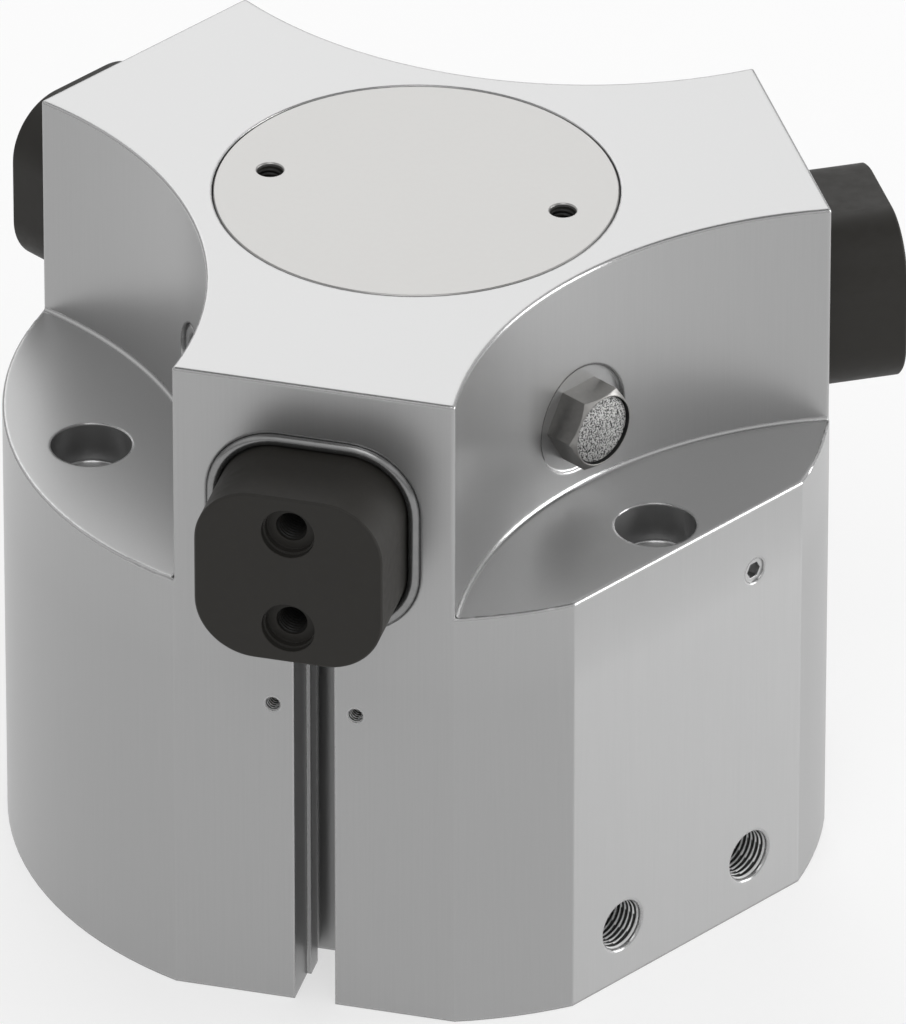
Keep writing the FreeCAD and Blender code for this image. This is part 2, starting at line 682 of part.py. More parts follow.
def make_top_cover(document, s, at):
    """A disc that sits flush in the top, with a spigot and two threaded holes."""
    piece = Piece(document, "top_cover")
    rim = s.cover_seat_radius - s.cover_gap
    spigot = s.chamber_radius - s.fit_gap
    groove_foot = at.cover_foot + (s.cover_spigot - s.cover_groove_width) / 2
    groove_top = groove_foot + s.cover_groove_width
    section = piece.draw("XZ_Plane").outline([
        (0, at.cover_foot),
        (spigot, at.cover_foot),
        (spigot, groove_foot),
        (spigot - s.cover_groove_depth, groove_foot),
        (spigot - s.cover_groove_depth, groove_top),
        (spigot, groove_top),
        (spigot, at.cover_seat),
        (rim, at.cover_seat),
        (rim, s.body_height),
        (0, s.body_height),
    ])
    piece.revolve(section)
    for side in (1, -1):
        hole = piece.draw("XY_Plane", s.body_height)
        hole.circle(s.cover_hole_circle * side, 0, s.cover_hole_radius)
        piece.pocket(hole, s.cover_hole_depth)
    piece.chamfer(s.cover_gap, lambda edge: at_height(edge, s.body_height))
    return piece.body


def make_round_seal(document, name, s, outer_radius, depth, middle):
    """A round sealing ring that fills the depth of its groove."""
    piece = Piece(document, name)
    thickness = depth / 2 - s.fit_gap / 2
    section = piece.draw("XZ_Plane").circle(outer_radius - depth / 2, middle, thickness)
    piece.revolve(section)
    return piece.body


def make_jaw(document, s, at, number):
    """A round-cornered slide with two finger holes in front and a sloping T-slot at its inner end."""
    piece = Piece(document, f"jaw_{number}")
    bar = piece.draw("XZ_Plane", at.jaw_reach)
    bar.rounded_rectangle(at.jaw_centre, s.jaw_width, s.jaw_height, s.jaw_corner)
    piece.pad(bar, at.jaw_reach - s.driver_apothem, reverse=True)
    piece.chamfer(s.jaw_edge, lambda edge: lies_at(edge, at.jaw_reach, 0))

    play = s.wedge_clearance
    piece.pocket(slope_section(piece, s, at, -s.driver_apothem, play), s.jaw_width * 2, middle=True)
    neck = slope_section(piece, s, at, 0, s.neck_length + play)
    piece.pocket(neck, s.neck_width + play * 2, middle=True)
    head = slope_section(piece, s, at, s.neck_length - play, s.neck_length + s.head_length + play)
    piece.pocket(head, s.head_width + play * 2, middle=True)

    levels = [
        (s.centring_radius, s.centring_depth),
        (s.centring_radius - s.centring_step, s.centring_floor),
        (s.finger_hole_radius, s.finger_hole_depth),
    ]
    for side in (1, -1):
        for radius, depth in levels:
            hole = piece.draw("XZ_Plane", at.jaw_reach)
            hole.circle(0, at.jaw_centre + s.finger_pitch / 2 * side, radius)
            piece.pocket(hole, depth)
    piece.body.Placement = Placement(Vector(0, 0, 0), Rotation(Vector(0, 0, 1), JAW_STEP * (number - 1)))
    return piece.body


def slope_section(piece, s, at, near, far):
    """A section between two parallel slopes, from below the jaw to above it.

    near and far are radial distances from the driver's own slope.
    """
    low = at.jaw_foot - 2
    high = at.jaw_top + 2
    low_radius = s.driver_apothem + (low - at.driver_foot) * s.wedge_slope
    high_radius = s.driver_apothem + (high - at.driver_foot) * s.wedge_slope
    return piece.draw("YZ_Plane").outline([
        (-(low_radius + near), low),
        (-(low_radius + far), low),
        (-(high_radius + far), high),
        (-(high_radius + near), high),
    ])


def make_jaw_seal(document, s, at, number):
    """A frame around a jaw, sunk in its flat, with a rounded bead in front."""
    piece = Piece(document, f"jaw_seal_{number}")
    play = s.slide_clearance * 2
    margin = s.jaw_seal_width * 2
    front = s.flat_apothem + s.jaw_seal_bead
    frame = piece.draw("XZ_Plane", front)
    frame.rounded_rectangle(at.jaw_centre, s.jaw_width + margin, s.jaw_height + margin,
                            s.jaw_corner + s.jaw_seal_width)
    piece.pad(frame, s.jaw_seal_bead + s.jaw_seal_depth, reverse=True)
    inside = piece.draw("XZ_Plane", front)
    inside.rounded_rectangle(at.jaw_centre, s.jaw_width + play, s.jaw_height + play,
                             s.jaw_corner + s.slide_clearance)
    piece.pocket(inside)
    bead_round = (s.jaw_seal_width - s.slide_clearance) * 0.45
    piece.fillet(bead_round, lambda edge: lies_at(edge, front, 0))
    piece.body.Placement = Placement(Vector(0, 0, 0), Rotation(Vector(0, 0, 1), JAW_STEP * (number - 1)))
    return piece.body


def make_wedge_driver(document, s, at):
    """The centre piece: three slopes with T-heads, on a round hub with a screw recess."""
    piece = Piece(document, "wedge_driver")
    core = piece.draw("XY_Plane", at.driver_foot)
    core.circle(0, 0, s.chamber_radius - s.driver_inset)
    piece.pad(core, at.driver_height)
    reach = s.chamber_radius
    slope_run = at.driver_height * s.wedge_slope
    slope = piece.draw("YZ_Plane").outline([
        (-s.driver_apothem, at.driver_foot),
        (-reach, at.driver_foot),
        (-reach, at.driver_top),
        (-(s.driver_apothem + slope_run), at.driver_top),
    ])
    slope_cut = piece.pocket(slope, s.chamber_radius * 2, middle=True)
    piece.repeat([slope_cut])

    root_depth = 2
    t_parts = [
        (-root_depth, s.neck_length + s.head_length, s.neck_width),
        (s.neck_length, s.neck_length + s.head_length, s.head_width),
    ]
    pads = []
    for near, far, width in t_parts:
        near_foot = s.driver_apothem + near
        far_foot = s.driver_apothem + far
        section = piece.draw("YZ_Plane").outline([
            (-near_foot, at.driver_foot),
            (-far_foot, at.driver_foot),
            (-(far_foot + slope_run), at.driver_top),
            (-(near_foot + slope_run), at.driver_top),
        ])
        pads.append(piece.pad(section, width, middle=True))
    piece.repeat(pads)

    spigot_seat = piece.draw("XY_Plane", at.driver_foot).circle(0, 0, s.spigot_radius)
    piece.pocket(spigot_seat, s.spigot_length, reverse=True)
    screw_hole = piece.draw("XY_Plane", at.driver_top).circle(0, 0, s.driver_screw_radius)
    piece.pocket(screw_hole)
    head_seat = piece.draw("XY_Plane", at.driver_top).circle(0, 0, s.driver_screw_head)
    piece.pocket(head_seat, s.driver_screw_recess)
    return piece.body


def make_driver_screw(document, s, at):
    """The cap screw that holds the driver on the rod."""
    piece = Piece(document, "driver_screw")
    seat = at.driver_top - s.driver_screw_recess
    section = piece.draw("XZ_Plane").outline([
        (0, seat - s.driver_screw_length),
        (s.driver_screw_radius, seat - s.driver_screw_length),
        (s.driver_screw_radius, seat),
        (s.driver_screw_head - s.fit_gap, seat),
        (s.driver_screw_head - s.fit_gap, at.driver_top),
        (0, at.driver_top),
    ])
    piece.revolve(section)
    socket = piece.draw("XY_Plane", at.driver_top).hexagon(0, 0, s.driver_screw_socket)
    piece.pocket(socket, s.driver_screw_recess / 2)
    return piece.body


def make_piston(document, s, at):
    """The piston with its rod: seats for magnet, guide ring and seal, and hollows at both ends."""
    piece = Piece(document, "piston")
    outer = s.bore_radius - s.piston_clearance
    foot = at.piston_foot
    seat_top = foot + s.retainer_height + s.magnet_height
    guide_foot = foot + s.guide_ring_start
    guide_top = guide_foot + s.guide_ring_width
    guide_floor = s.bore_radius - s.guide_ring_wall
    seal_foot = foot + s.piston_seal_start
    seal_top = seal_foot + s.piston_seal_width
    seal_floor = s.bore_radius - s.piston_seal_wall
    recess_radius = s.head_hub_radius + s.hub_play
    recess_floor = at.piston_top - s.head_hub - s.stroke_gap
    section = piece.draw("XZ_Plane").outline([
        (0, foot),
        (s.piston_boss, foot),
        (s.piston_boss, foot + s.piston_foot_recess),
        (s.piston_skirt, foot + s.piston_foot_recess),
        (s.piston_skirt, foot),
        (at.magnet_seat, foot),
        (at.magnet_seat, seat_top),
        (outer, seat_top),
        (outer, guide_foot),
        (guide_floor, guide_foot),
        (guide_floor, guide_top),
        (outer, guide_top),
        (outer, seal_foot),
        (seal_floor, seal_foot),
        (seal_floor, seal_top),
        (outer, seal_top),
        (outer, at.piston_top - s.piston_step_height),
        (outer - s.piston_step, at.piston_top - s.piston_step_height),
        (outer - s.piston_step, at.piston_top),
        (recess_radius, at.piston_top),
        (recess_radius, recess_floor),
        (s.rod_radius, recess_floor),
        (s.rod_radius, at.driver_foot),
        (s.spigot_radius, at.driver_foot),
        (s.spigot_radius, at.driver_foot + s.spigot_length),
        (0, at.driver_foot + s.spigot_length),
    ])
    piece.revolve(section)
    screw_end = at.driver_top - s.driver_screw_recess - s.driver_screw_length
    spigot_top = at.driver_foot + s.spigot_length
    thread = piece.draw("XY_Plane", spigot_top).circle(0, 0, s.driver_screw_radius)
    piece.pocket(thread, spigot_top - screw_end)
    return piece.body


def make_ring(document, name, inner, outer, foot, height):
    """A plain turned ring."""
    piece = Piece(document, name)
    top = foot + height
    section = piece.draw("XZ_Plane").outline([(inner, foot), (outer, foot), (outer, top), (inner, top)])
    piece.revolve(section)
    return piece.body


def make_piston_rings(document, s, at):
    """The rings that the piston carries."""
    foot = at.piston_foot
    sliding = s.bore_radius - s.slide_clearance
    return [
        make_ring(document, "magnet_retainer", at.magnet_seat, at.magnet_outer, foot, s.retainer_height),
        make_ring(document, "magnet_ring", at.magnet_seat, at.magnet_outer, foot + s.retainer_height,
                  s.magnet_height),
        make_ring(document, "piston_guide_ring", s.bore_radius - s.guide_ring_wall, sliding,
                  foot + s.guide_ring_start, s.guide_ring_width),
        make_ring(document, "piston_seal", s.bore_radius - s.piston_seal_wall, sliding,
                  foot + s.piston_seal_start, s.piston_seal_width),
    ]


def make_cylinder_head(document, s, at):
    """The wall above the cylinder: a sealed rim and a hub that carries the rod's bush and seal."""
    piece = Piece(document, "cylinder_head")
    outer = s.bore_radius - s.fit_gap
    groove_foot = at.head_foot + (s.head_rim - s.ring_seal_width) / 2
    groove_top = groove_foot + s.ring_seal_width
    bush_top = at.bore_top - s.rod_lip
    bush_foot = bush_top - s.bush_length
    section = piece.draw("XZ_Plane").outline([
        (s.rod_radius + s.rod_seal_wall, at.hub_foot),
        (s.head_hub_radius, at.hub_foot),
        (s.head_hub_radius, at.head_foot),
        (outer, at.head_foot),
        (outer, groove_foot),
        (outer - s.ring_seal_depth, groove_foot),
        (outer - s.ring_seal_depth, groove_top),
        (outer, groove_top),
        (outer, at.bore_top),
        (s.rod_radius + s.rod_play, at.bore_top),
        (s.rod_radius + s.rod_play, bush_top),
        (s.rod_radius + s.bush_wall, bush_top),
        (s.rod_radius + s.bush_wall, bush_foot),
        (s.rod_radius + s.rod_seal_wall, bush_foot),
    ])
    piece.revolve(section)
    hole = piece.draw("XY_Plane", at.head_foot, PORT_TURN)
    hole.circle(0, -at.head_screw_circle, s.head_screw_radius)
    hole_cut = piece.pocket(hole, reverse=True)
    seat = piece.draw("XY_Plane", at.head_foot, PORT_TURN)
    seat.circle(0, -at.head_screw_circle, s.head_screw_head)
    seat_cut = piece.pocket(seat, s.head_screw_recess, reverse=True)
    piece.repeat([hole_cut, seat_cut])
    return piece.body


def make_rod_rings(document, s, at):
    """The bush and the seal that the rod slides in."""
    bush_foot = at.bore_top - s.rod_lip - s.bush_length
    inner = s.rod_radius + s.slide_clearance
    return [
        make_ring(document, "rod_bush", inner, s.rod_radius + s.bush_wall, bush_foot, s.bush_length),
        make_ring(document, "rod_seal", inner, s.rod_radius + s.rod_seal_wall, bush_foot - s.rod_seal_length,
                  s.rod_seal_length),
    ]


def make_head_screws(document, s, at):
    """Three cap screws that hold the cylinder head from below."""
    piece = Piece(document, "head_screws")
    piece.body.AllowCompound = True
    seat = at.head_foot + s.head_screw_recess
    head_radius = s.head_screw_head - s.fit_gap
    shank = piece.draw("XY_Plane", seat, PORT_TURN)
    shank.circle(0, -at.head_screw_circle, s.head_screw_radius)
    shank_pad = piece.pad(shank, s.head_screw_length - (s.head_rim - s.head_screw_recess))
    head = piece.draw("XY_Plane", seat, PORT_TURN)
    head.circle(0, -at.head_screw_circle, head_radius)
    head_pad = piece.pad(head, s.head_screw_recess, reverse=True)
    socket = piece.draw("XY_Plane", at.head_foot, PORT_TURN)
    socket.hexagon(0, -at.head_screw_circle, s.head_screw_socket)
    socket_cut = piece.pocket(socket, s.head_screw_recess / 2, reverse=True)
    piece.repeat([shank_pad, head_pad, socket_cut])
    return piece.body


def make_end_cap(document, s, at):
    """The disc that closes the cylinder at the base."""
    piece = Piece(document, "end_cap")
    outer = s.bore_radius - s.fit_gap
    groove_foot = at.cap_foot + (s.cap_rim - s.ring_seal_width) / 2
    groove_top = groove_foot + s.ring_seal_width
    section = piece.draw("XZ_Plane").outline([
        (0, at.cap_foot),
        (outer, at.cap_foot),
        (outer, groove_foot),
        (outer - s.ring_seal_depth, groove_foot),
        (outer - s.ring_seal_depth, groove_top),
        (outer, groove_top),
        (outer, at.cap_step),
        (s.cap_spigot_radius, at.cap_step),
        (s.cap_spigot_radius, at.cap_top),
        (0, at.cap_top),
    ])
    piece.revolve(section)
    hole = piece.draw("XY_Plane", at.cap_foot).circle(0, 0, s.cap_centre_radius)
    piece.pocket(hole, s.cap_centre_depth, reverse=True)
    return piece.body


def make_end_cap_ring(document, s, at):
    """The open retaining ring under the end cap, with an eye at each end."""
    piece = Piece(document, "end_cap_ring")
    outer = s.bore_radius + s.ring_groove_depth - s.ring_clearance
    ring = piece.draw("XY_Plane", s.ring_start + s.ring_clearance)
    ring.circle(0, 0, outer)
    piece.pad(ring, s.ring_groove_width - s.ring_clearance)
    inside = piece.draw("XY_Plane").circle(0, 0, s.ring_inner_radius)
    piece.pocket(inside, reverse=True)
    opening = piece.draw("XY_Plane").rectangle(0, s.ring_gap / -2, outer + 1, s.ring_gap / 2)
    piece.pocket(opening, reverse=True)
    eye_side = s.ring_gap / 2 + s.ring_eye_radius * 2
    middle = (s.ring_inner_radius + s.bore_radius) / 2
    eye_reach = root(middle * middle - eye_side * eye_side)
    for side in (1, -1):
        eye = piece.draw("XY_Plane").circle(eye_reach, eye_side * side, s.ring_eye_radius)
        piece.pocket(eye, reverse=True)
    return piece.body


def make_breather_body(document, s, at):
    """A hexagon with a threaded shank, an air hole and a seat for the sintered disc."""
    piece = Piece(document, "breather_body")
    front = s.spotface_apothem + s.breather_height
    hexagon = piece.draw("XZ_Plane", s.spotface_apothem, PORT_TURN)
    hexagon.hexagon(0, at.jaw_centre, s.breather_flats)
    piece.pad(hexagon, s.breather_height)
    piece.chamfer(s.filter_gap, lambda edge: lies_at(edge, front, PORT_TURN))
    shank = piece.draw("XZ_Plane", s.spotface_apothem, PORT_TURN)
    shank.circle(0, at.jaw_centre, s.side_hole_radius)
    piece.pad(shank, s.breather_shank, reverse=True)
    seat = piece.draw("XZ_Plane", front, PORT_TURN)
    seat.circle(0, at.jaw_centre, s.filter_radius + s.filter_gap)
    piece.pocket(seat, s.filter_depth)
    air_hole = piece.draw("XZ_Plane", front, PORT_TURN)
    air_hole.circle(0, at.jaw_centre, s.breather_bore)
    piece.pocket(air_hole)
    return piece.body


def make_breather_filter(document, s, at):
    """The sintered disc in the breather's front."""
    piece = Piece(document, "breather_filter")
    front = s.spotface_apothem + s.breather_height
    disc = piece.draw("XZ_Plane", front, PORT_TURN).circle(0, at.jaw_centre, s.filter_radius)
    piece.pad(disc, s.filter_depth, reverse=True)
    return piece.body


def make_side_plug(document, s, at, number, turn):
    """A set screw that closes a wall hole, flush with the recess floor."""
    piece = Piece(document, f"side_plug_{number}")
    plug = piece.draw("XZ_Plane", s.side_recess_apothem, turn)
    plug.circle(0, at.jaw_centre, s.side_hole_radius)
    piece.pad(plug, s.side_plug_length, reverse=True)
    socket = piece.draw("XZ_Plane", s.side_recess_apothem, turn)
    socket.hexagon(0, at.jaw_centre, s.side_plug_socket)
    piece.pocket(socket, s.side_plug_socket_depth)
    return piece.body


def make_channel_plugs(document, s, at):
    """Two set screws that close the drilled air channels, on the port flat and at the base."""
    piece = Piece(document, "channel_plugs")
    piece.body.AllowCompound = True
    side_face = s.port_apothem - s.plug_inset
    side_plug = piece.draw("XZ_Plane", side_face, PORT_TURN)
    side_plug.circle(s.channel_offset, at.channel_height, s.plug_radius)
    piece.pad(side_plug, s.plug_length, reverse=True)
    side_socket = piece.draw("XZ_Plane", side_face, PORT_TURN)
    side_socket.hexagon(s.channel_offset, at.channel_height, s.plug_socket)
    piece.pocket(side_socket, s.plug_socket_depth)
    inward = -(s.port_apothem - s.channel_inset)
    base_plug = piece.draw("XY_Plane", s.plug_inset, PORT_TURN)
    base_plug.circle(s.channel_offset, inward, s.plug_radius)
    piece.pad(base_plug, s.plug_length)
    base_socket = piece.draw("XY_Plane", s.plug_inset, PORT_TURN)
    base_socket.hexagon(s.channel_offset, inward, s.plug_socket)
    piece.pocket(base_socket, s.plug_socket_depth, reverse=True)
    return piece.body


def make_pieces(document, s, at):
    """Builds every piece of the gripper."""
    seal_depth = s.ring_seal_depth
    pieces = [
        make_housing(document, s, at),
        make_top_cover(document, s, at),
        make_round_seal(document, "cover_seal", s, s.chamber_radius, s.cover_groove_depth,
                        at.cover_foot + s.cover_spigot / 2),
        make_wedge_driver(document, s, at),
        make_driver_screw(document, s, at),
        make_piston(document, s, at),
        make_cylinder_head(document, s, at),
        make_round_seal(document, "head_seal", s, s.bore_radius, seal_depth, at.head_foot + s.head_rim / 2),
        make_head_screws(document, s, at),
        make_end_cap(document, s, at),
        make_round_seal(document, "end_cap_seal", s, s.bore_radius, seal_depth, at.cap_foot + s.cap_rim / 2),
        make_end_cap_ring(document, s, at),
        make_breather_body(document, s, at),
        make_breather_filter(document, s, at),
        make_side_plug(document, s, at, 1, LEFT_TURN),
        make_side_plug(document, s, at, 2, BACK_TURN),
        make_channel_plugs(document, s, at),
    ]
    pieces += make_piston_rings(document, s, at)
    pieces += make_rod_rings(document, s, at)
    for number in range(1, JAW_COUNT + 1):
        pieces.append(make_jaw(document, s, at, number))
        pieces.append(make_jaw_seal(document, s, at, number))
    return pieces


def check_document(document, pieces):
    """Stops before anything is written if a step failed or a shape is not sound."""
    for thing in document.Objects:
        if "Invalid" in thing.State or "Error" in thing.State:
            raise ValueError(f"{thing.Name} failed: {thing.State}")
    for body in pieces:
        if body.Shape.isNull() or not body.Shape.isValid() or not body.Shape.Solids:
            raise ValueError(f"{body.Label} has no sound shape")


def write_pieces(pieces):
    os.makedirs(PARTS_FOLDER, exist_ok=True)
    for body in pieces:
        body.Shape.exportStep(os.path.join(PARTS_FOLDER, f"{body.Label}.step"))
        print(f"{body.Label}: {len(body.Shape.Solids)} solid(s), {body.Shape.Volume:.0f} cubic mm")


def main():
    document = FreeCAD.newDocument("three_jaw_gripper")
    sizes = SizeSheet(document)
    pieces = make_pieces(document, sizes, Layout(sizes))
    document.recompute()
    check_document(document, pieces)
    write_pieces(pieces)


main()
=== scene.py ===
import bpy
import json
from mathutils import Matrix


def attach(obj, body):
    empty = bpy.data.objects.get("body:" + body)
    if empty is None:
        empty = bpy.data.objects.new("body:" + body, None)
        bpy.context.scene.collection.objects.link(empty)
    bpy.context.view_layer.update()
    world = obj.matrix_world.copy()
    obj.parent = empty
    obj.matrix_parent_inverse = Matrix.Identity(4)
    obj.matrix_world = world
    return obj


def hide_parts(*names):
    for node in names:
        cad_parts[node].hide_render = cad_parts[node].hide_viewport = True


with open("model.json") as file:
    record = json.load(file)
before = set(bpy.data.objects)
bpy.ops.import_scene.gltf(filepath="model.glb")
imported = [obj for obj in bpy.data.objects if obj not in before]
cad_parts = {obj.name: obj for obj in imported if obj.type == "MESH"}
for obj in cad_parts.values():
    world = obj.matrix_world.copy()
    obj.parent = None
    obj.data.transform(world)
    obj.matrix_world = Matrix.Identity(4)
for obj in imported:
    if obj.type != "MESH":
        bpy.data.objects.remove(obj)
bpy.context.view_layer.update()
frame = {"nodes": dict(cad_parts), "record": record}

import json
import math

import bmesh
import bpy
from mathutils import Matrix, Vector

# Turns about the upright axis, in degrees. Jaw 1 is at the front, at turn 0.
JAW_TURNS = {1: 0, 2: 120, 3: 240}
PORT_TURN = 60
BACK_TURN = 180
LEFT_TURN = -60

# Sizes and places on the gripper, in metres. The origin is the middle of the base.
BODY_HEIGHT = 0.1143
BODY_RADIUS = 0.066
WALL_RADIUS = 0.0366
STEP_HEIGHT = 0.0754
FLAT = 0.0619
JAW_CENTRE = 0.0878
JAW_REACH = 0.0769
JAW_WIDTH = 0.0304
JAW_HEIGHT = 0.03
JAW_CORNER = 0.0096
FINGER_PITCH = 0.01725
FINGER_THREAD_DEPTH = 0.0024
BEAD_INNER = 0.0001
BEAD_OUTER = 0.00205
BEAD_RISE = 0.0009
BEAD_DEPTH = 0.003
BRACKET_HOLE_HEIGHT = 0.0548
BRACKET_HOLE_OFFSET = 0.00675
BRACKET_THREAD_DEPTH = 0.0001
PORT_FLAT = 0.0608
PORT_HEIGHT = 0.01
PORT_OFFSET = 0.0144
PORT_THREAD_DEPTH = 0.0007
COVER_HOLE_CIRCLE = 0.024
COVER_THREAD_DEPTH = 0.0006
SPOTFACE = 0.0362
HEXAGON_FLATS = 0.0122
HEXAGON_HEIGHT = 0.0056
HEXAGON_BEVEL_START = 0.985  # of half the width across the flats
HEXAGON_BEVEL_SLOPE = 0.6  # drop for each unit of radius past the start
HEXAGON_EDGE = 0.0001
SHANK_RADIUS = 0.00428
SHANK_LENGTH = 0.0054
FILTER_SEAT = 0.00578
FILTER_DEPTH = 0.0025
FILTER_RADIUS = 0.00568
FILTER_SINK = 0.0005
FILTER_EDGE = 0.0002
FILTER_CENTRE = 0.00001
COLLAR_INNER = 0.0044
COLLAR_OUTER = 0.00655
COLLAR_EDGE = 0.0002
COLLAR_FLOOR = 0.0349
COLLAR_TOP = 0.0363
FILLET_RADIUS = 0.0007
FILLET_LIFT = 0.00001
FILLET_END_GAP = 0.006  # radians

MILLIMETRES = 1000


def grey(value):
    return (value, value, value)


class Material:
    """A procedural material, built node by node."""

    def __init__(self, name, color, metallic=0.0, roughness=0.5):
        self.name = name
        self.material = bpy.data.materials.new(name)
        self.material.use_nodes = True
        self.tree = self.material.node_tree
        self.shader = self.tree.nodes["Principled BSDF"]
        self.shader.inputs["Base Color"].default_value = (*color, 1)
        self.shader.inputs["Metallic"].default_value = metallic
        self.shader.inputs["Roughness"].default_value = roughness
        self.normal = None

    def node(self, kind, **values):
        node = self.tree.nodes.new(kind)
        for name, value in values.items():
            if hasattr(node, name):
                setattr(node, name, value)
            else:
                node.inputs[name.replace("_", " ")].default_value = value
        return node

    def feed(self, socket, value):
        """Gives a socket a constant, or links it to another node's output."""
        if isinstance(value, bpy.types.NodeSocket):
            self.tree.links.new(value, socket)
        else:
            socket.default_value = value

    def set(self, name, value):
        self.feed(self.shader.inputs[name], value)

    def coordinates(self, stretch=(1, 1, 1)):
        """Object coordinates in millimetres, stretched along the axes."""
        source = self.node("ShaderNodeTexCoord")
        mapping = self.node("ShaderNodeMapping", Scale=[MILLIMETRES * factor for factor in stretch])
        self.feed(mapping.inputs["Vector"], source.outputs["Object"])
        return mapping.outputs["Vector"]

    def up_part(self, vector):
        split = self.node("ShaderNodeSeparateXYZ")
        self.feed(split.inputs["Vector"], vector)
        return split.outputs["Z"]

    def noise(self, scale, stretch=(1, 1, 1), detail=2.0):
        noise = self.node("ShaderNodeTexNoise", Scale=scale, Detail=detail)
        self.feed(noise.inputs["Vector"], self.coordinates(stretch))
        return noise.outputs["Fac"]

    def spread(self, value, low, high, inside=(0.3, 0.7)):
        """Maps the values inside a range onto low to high."""
        start, end = inside
        ranged = self.node("ShaderNodeMapRange", From_Min=start, From_Max=end, To_Min=low, To_Max=high)
        self.feed(ranged.inputs["Value"], value)
        return ranged.outputs["Result"]

    def calculate(self, operation, *values):
        node = self.node("ShaderNodeMath", operation=operation)
        for socket, value in zip(node.inputs, values):
            self.feed(socket, value)
        return node.outputs["Value"]

    def mix_color(self, factor, first, second):
        mix = self.node("ShaderNodeMix", data_type="RGBA")
        for index, value in ((0, factor), (6, first), (7, second)):
            self.feed(mix.inputs[index], value)
        return mix.outputs[2]

    def mix_value(self, factor, first, second):
        mix = self.node("ShaderNodeMix")
        for index, value in ((0, factor), (2, first), (3, second)):
            self.feed(mix.inputs[index], value)
        return mix.outputs[0]

    def vary_color(self, value, dark, light):
        color = self.mix_color(value, (*dark, 1), (*light, 1))
        self.set("Base Color", color)
        return color

    def rounded_normal(self, radius, samples):
        """The normal that the surface would have with rounded edges."""
        bevel = self.node("ShaderNodeBevel", samples=samples, Radius=radius)
        self.normal = bevel.outputs["Normal"]
        self.set("Normal", self.normal)
        return self.normal

    def true_normal(self):
        return self.node("ShaderNodeNewGeometry").outputs["True Normal"]

    def tilt(self, normal):
        """How far a surface faces up or down, from 0 to 1."""
        return self.calculate("ABSOLUTE", self.up_part(normal))

    def slanted(self, normal):
        """1 where the surface is neither level nor upright, which is only on rounded edges."""
        tilt = self.tilt(normal)
        return self.calculate("MULTIPLY", self.spread(tilt, 0, 1, (0.08, 0.25)),
                              self.spread(tilt, 1, 0, (0.93, 0.985)))

    def paint_edge_highlights(self, radius, flat_color, highlight_color, flat_roughness, edge_roughness):
        """Paints a highlight where the surface bends: a lighter base colour, and a lower roughness there.
        """
        rounded = self.rounded_normal(radius, 8)
        likeness = self.node("ShaderNodeVectorMath", operation="DOT_PRODUCT")
        self.feed(likeness.inputs[0], rounded)
        self.feed(likeness.inputs[1], self.true_normal())
        bent = self.spread(likeness.outputs["Value"], 1, 0, (0.93, 0.995))
        edge = self.calculate("MAXIMUM", bent, self.slanted(rounded))
        # Painted highlight: the base colour is lightened on the bends.
        self.set("Base Color", self.mix_color(edge, flat_color, (*highlight_color, 1)))
        self.set("Roughness", self.mix_value(edge, flat_roughness, edge_roughness))

    def brush_upright(self, strength, full_height, no_height):
        """Spreads reflections up and down on the upright surfaces of the lower body. Heights are in mm."""
        tangent = self.node("ShaderNodeTangent", direction_type="RADIAL", axis="Z")
        self.set("Tangent", tangent.outputs["Tangent"])
        self.set("Anisotropic Rotation", 0.25)
        low = self.spread(self.up_part(self.coordinates()), strength, 0, (full_height, no_height))
        upright = self.spread(self.tilt(self.true_normal()), 1, 0, (0.2, 0.5))
        self.set("Anisotropic", self.calculate("MULTIPLY", low, upright))

    def dull_floors(self, metallic, floor_metallic, low, high):
        """Makes the level surfaces below a height duller than the rest. Heights are in mm."""
        level = self.spread(self.tilt(self.true_normal()), 0, 1, (0.9, 0.99))
        below = self.spread(self.up_part(self.coordinates()), 1, 0, (low, high))
        floor = self.calculate("MULTIPLY", level, below)
        self.set("Metallic", self.spread(floor, metallic, floor_metallic, (0, 1)))

    def bump(self, value, height, strength):
        bump = self.node("ShaderNodeBump", Strength=strength, Distance=height)
        self.feed(bump.inputs["Height"], value)
        if self.normal is not None:
            self.feed(bump.inputs["Normal"], self.normal)
        self.set("Normal", bump.outputs["Normal"])

    def whiten(self, share):
        """Mixes in plain white for the camera and for reflections, and leaves the rest with its shadow."""
        path = self.node("ShaderNodeLightPath")
        seen = self.calculate("MAXIMUM", path.outputs["Is Camera Ray"], path.outputs["Is Glossy Ray"])
        mix = self.node("ShaderNodeMixShader")
        self.feed(mix.inputs[0], self.calculate("MULTIPLY", seen, share))
        self.feed(mix.inputs[1], self.shader.outputs[0])
        self.feed(mix.inputs[2], self.node("ShaderNodeEmission").outputs[0])
        self.feed(self.tree.nodes["Material Output"].inputs["Surface"], mix.outputs[0])


def mottled(name, color, metallic, roughness, colors, finish, scale, detail, edge=None):
    """A material whose colour and roughness wander a little, between colors and within finish."""
    m = Material(name, color, metallic, roughness)
    grain = m.noise(scale, detail=detail)
    m.vary_color(m.spread(grain, 0, 1), *colors)
    m.set("Roughness", m.spread(grain, *finish))
    if edge:
        m.rounded_normal(edge, 6)
    return m


def brushed_body():
    """Satin aluminium with a fine upright grain, and a painted highlight on its bent edges."""
    m = Material("body_aluminium", grey(0.4), metallic=0.85, roughness=0.35)
    grain = m.noise(1.0, stretch=(5.0, 5.0, 0.06), detail=3.0)
    color = m.vary_color(m.spread(grain, 0, 1), (0.394, 0.394, 0.395), grey(0.408))
    finish = m.spread(grain, 0.34, 0.36)
    # Painted highlight: the edges get a lighter base colour where the surface bends.
    m.paint_edge_highlights(0.0007, color, highlight_color=grey(0.44), flat_roughness=finish, edge_roughness=0.18)
    m.brush_upright(strength=0.8, full_height=60, no_height=90)
    m.dull_floors(metallic=0.85, floor_metallic=0.55, low=104.3, high=109.3)
    m.bump(grain, height=0.000002, strength=0.15)
    return m


